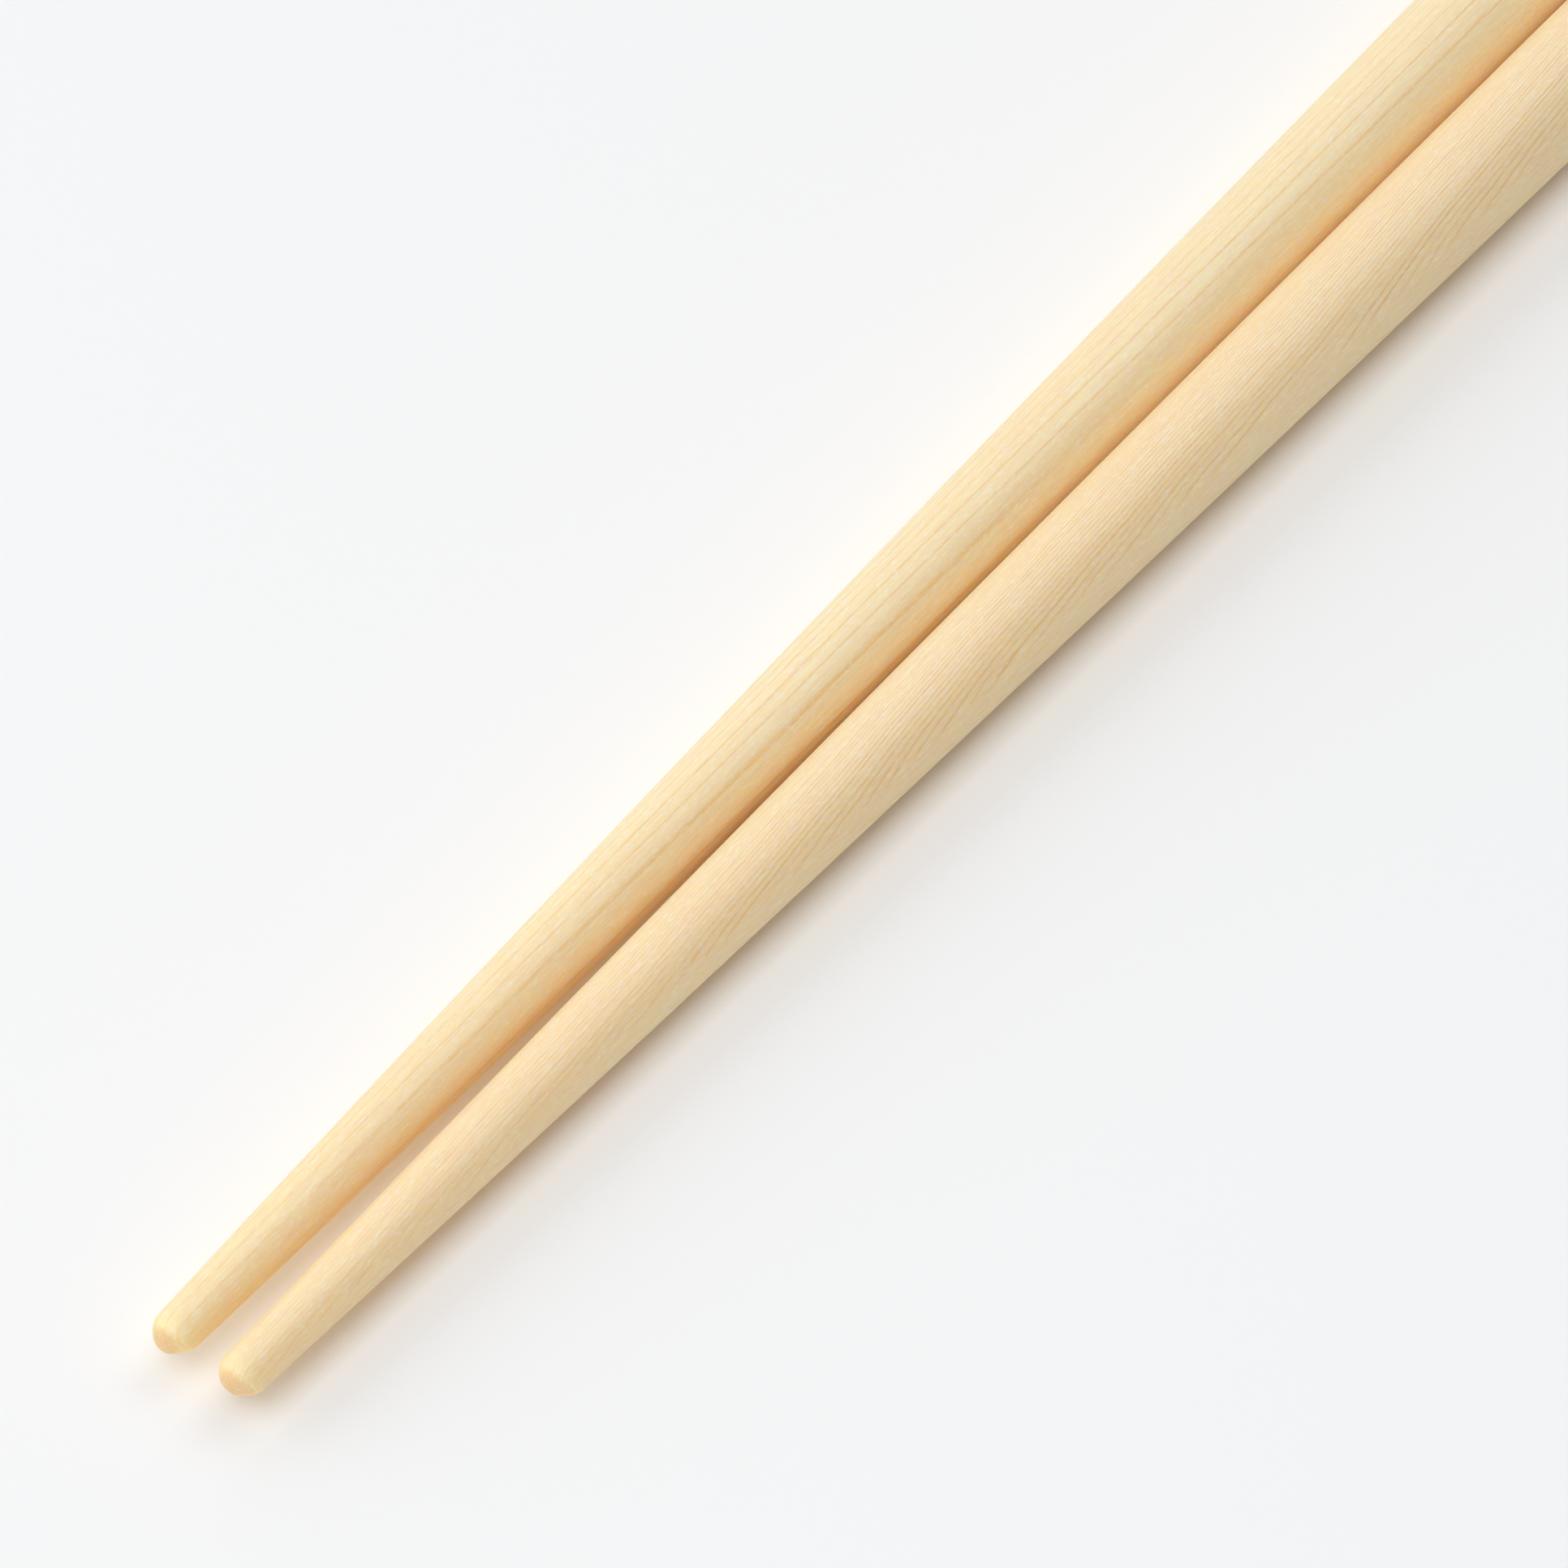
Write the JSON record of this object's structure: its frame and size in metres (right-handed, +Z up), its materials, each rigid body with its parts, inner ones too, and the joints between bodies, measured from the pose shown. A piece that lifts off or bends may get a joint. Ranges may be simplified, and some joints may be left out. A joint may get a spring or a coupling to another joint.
{
  "type": "chopsticks",
  "caption": "Round tapered wooden chopsticks with blunt tips, lying side by side on a table; the moving stick swings its tip open for picking up food.",
  "frame": {"origin": "on the table, under the middle of the lying pair", "axes": "+X along the sticks from their tips to their heads, +Y from the fixed stick to the moving one, +Z up"},
  "size_m": [0.23, 0.018, 0.0083],
  "materials": {
    "fixed_chopstick_wood": "bare softwood, finely sanded, no varnish",
    "moving_chopstick_wood": "bare softwood, finely sanded, no varnish"
  },
  "bodies": {
    "fixed_stick": {"fixed_chopstick": "fixed_chopstick_wood"},
    "moving_stick": {"moving_chopstick": "moving_chopstick_wood"}
  },
  "joints": [
    {"name": "tip_opening", "type": "hinge", "parent": "fixed_stick", "child": "moving_stick", "pos_m": [0.115, 0, 0.0045], "axis": [0, 0, -1], "range_deg": [0, 12]}
  ]
}
